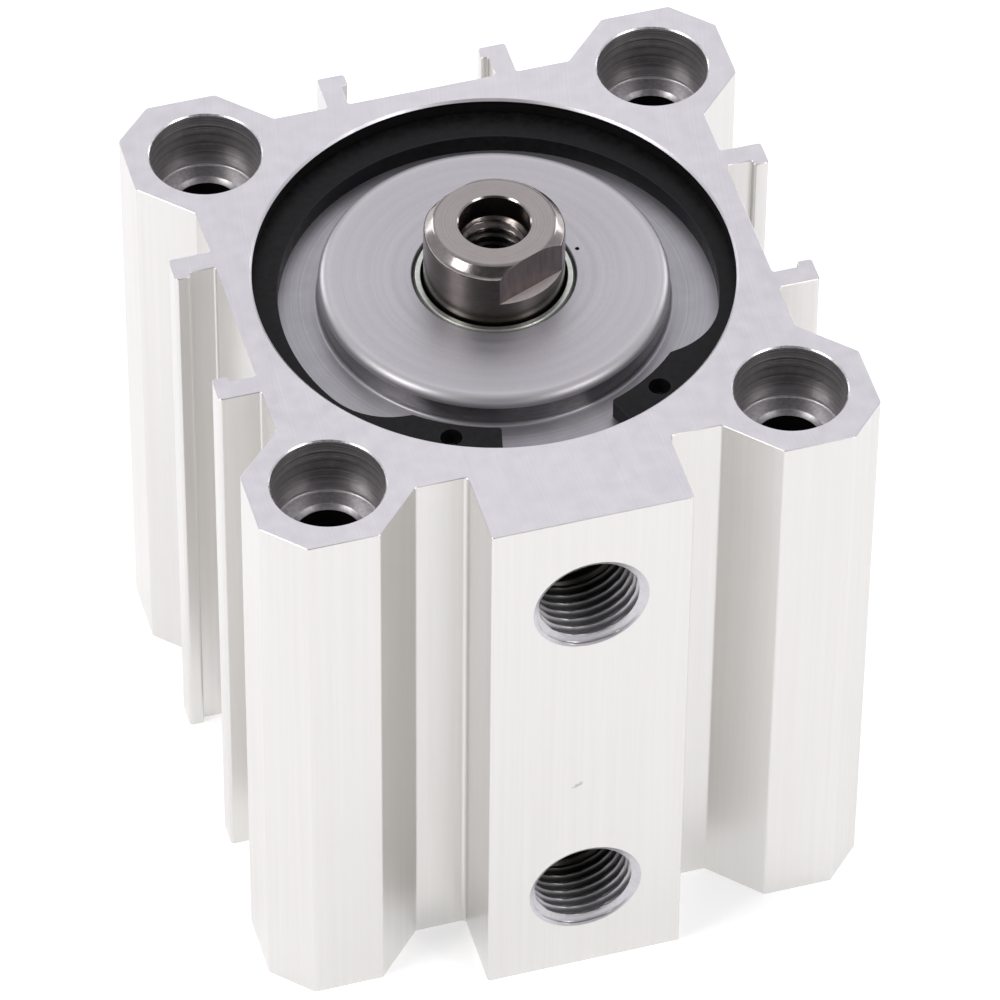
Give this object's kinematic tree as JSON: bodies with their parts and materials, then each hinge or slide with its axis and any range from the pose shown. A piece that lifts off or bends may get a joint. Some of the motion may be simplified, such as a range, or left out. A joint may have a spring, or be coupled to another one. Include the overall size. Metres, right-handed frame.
{
  "type": "compact pneumatic cylinder",
  "caption": "Short-stroke pneumatic cylinder: square extruded tube with corner bolt holes, switch rails and threaded air ports, and a rod with a female thread.",
  "frame": {"origin": "middle of the bore on the milled rear end face", "axes": "+Z along the rod, the way it extends; -Y out of the two air ports"},
  "size_m": [0.0536, 0.0565, 0.0627],
  "materials": {
    "tube_anodised": "clear anodised extrusion, milled ends",
    "cover_aluminium": "fine turned, anodised",
    "seal_rubber": "matt black nitrile",
    "bearing_metal": "plated steel-backed bearing strip",
    "ring_blackened": "black phosphated spring steel",
    "rod_steel": "ground and polished steel",
    "piston_aluminium": "turned",
    "bonded_magnet": "matt bonded ferrite",
    "wear_plastic": "matt bearing plastic",
    "nut_steel": "zinc plated",
    "bumper_rubber": "matt polyurethane"
  },
  "bodies": {
    "barrel": {"cylinder_tube": "tube_anodised", "rod_cover": "cover_aluminium", "rod_cover_oring": "seal_rubber", "rod_bushing": "bearing_metal", "rod_seal": "seal_rubber", "front_retaining_ring": "ring_blackened", "rear_cover": "cover_aluminium", "rear_cover_oring": "seal_rubber", "rear_retaining_ring": "ring_blackened"},
    "piston_packing": {"piston_seal_front": "seal_rubber", "piston_seal_rear": "seal_rubber", "wear_ring": "wear_plastic"},
    "rod_assembly": {"piston_rod": "rod_steel", "piston_front": "piston_aluminium", "piston_rear": "piston_aluminium", "piston_magnet": "bonded_magnet", "piston_nut": "nut_steel", "piston_rod_oring": "seal_rubber", "front_bumper": "bumper_rubber", "rear_bumper": "bumper_rubber"}
  },
  "joints": [
    {"name": "rod_stroke", "type": "slide", "parent": "barrel", "child": "piston_packing", "axis": [0, 0, 1], "range_m": [0, 0.02]},
    {"name": "rod_rotation", "type": "hinge", "parent": "piston_packing", "child": "rod_assembly", "pos_m": [0, 0, 0.04], "axis": [0, 0, 1], "continuous": true}
  ]
}
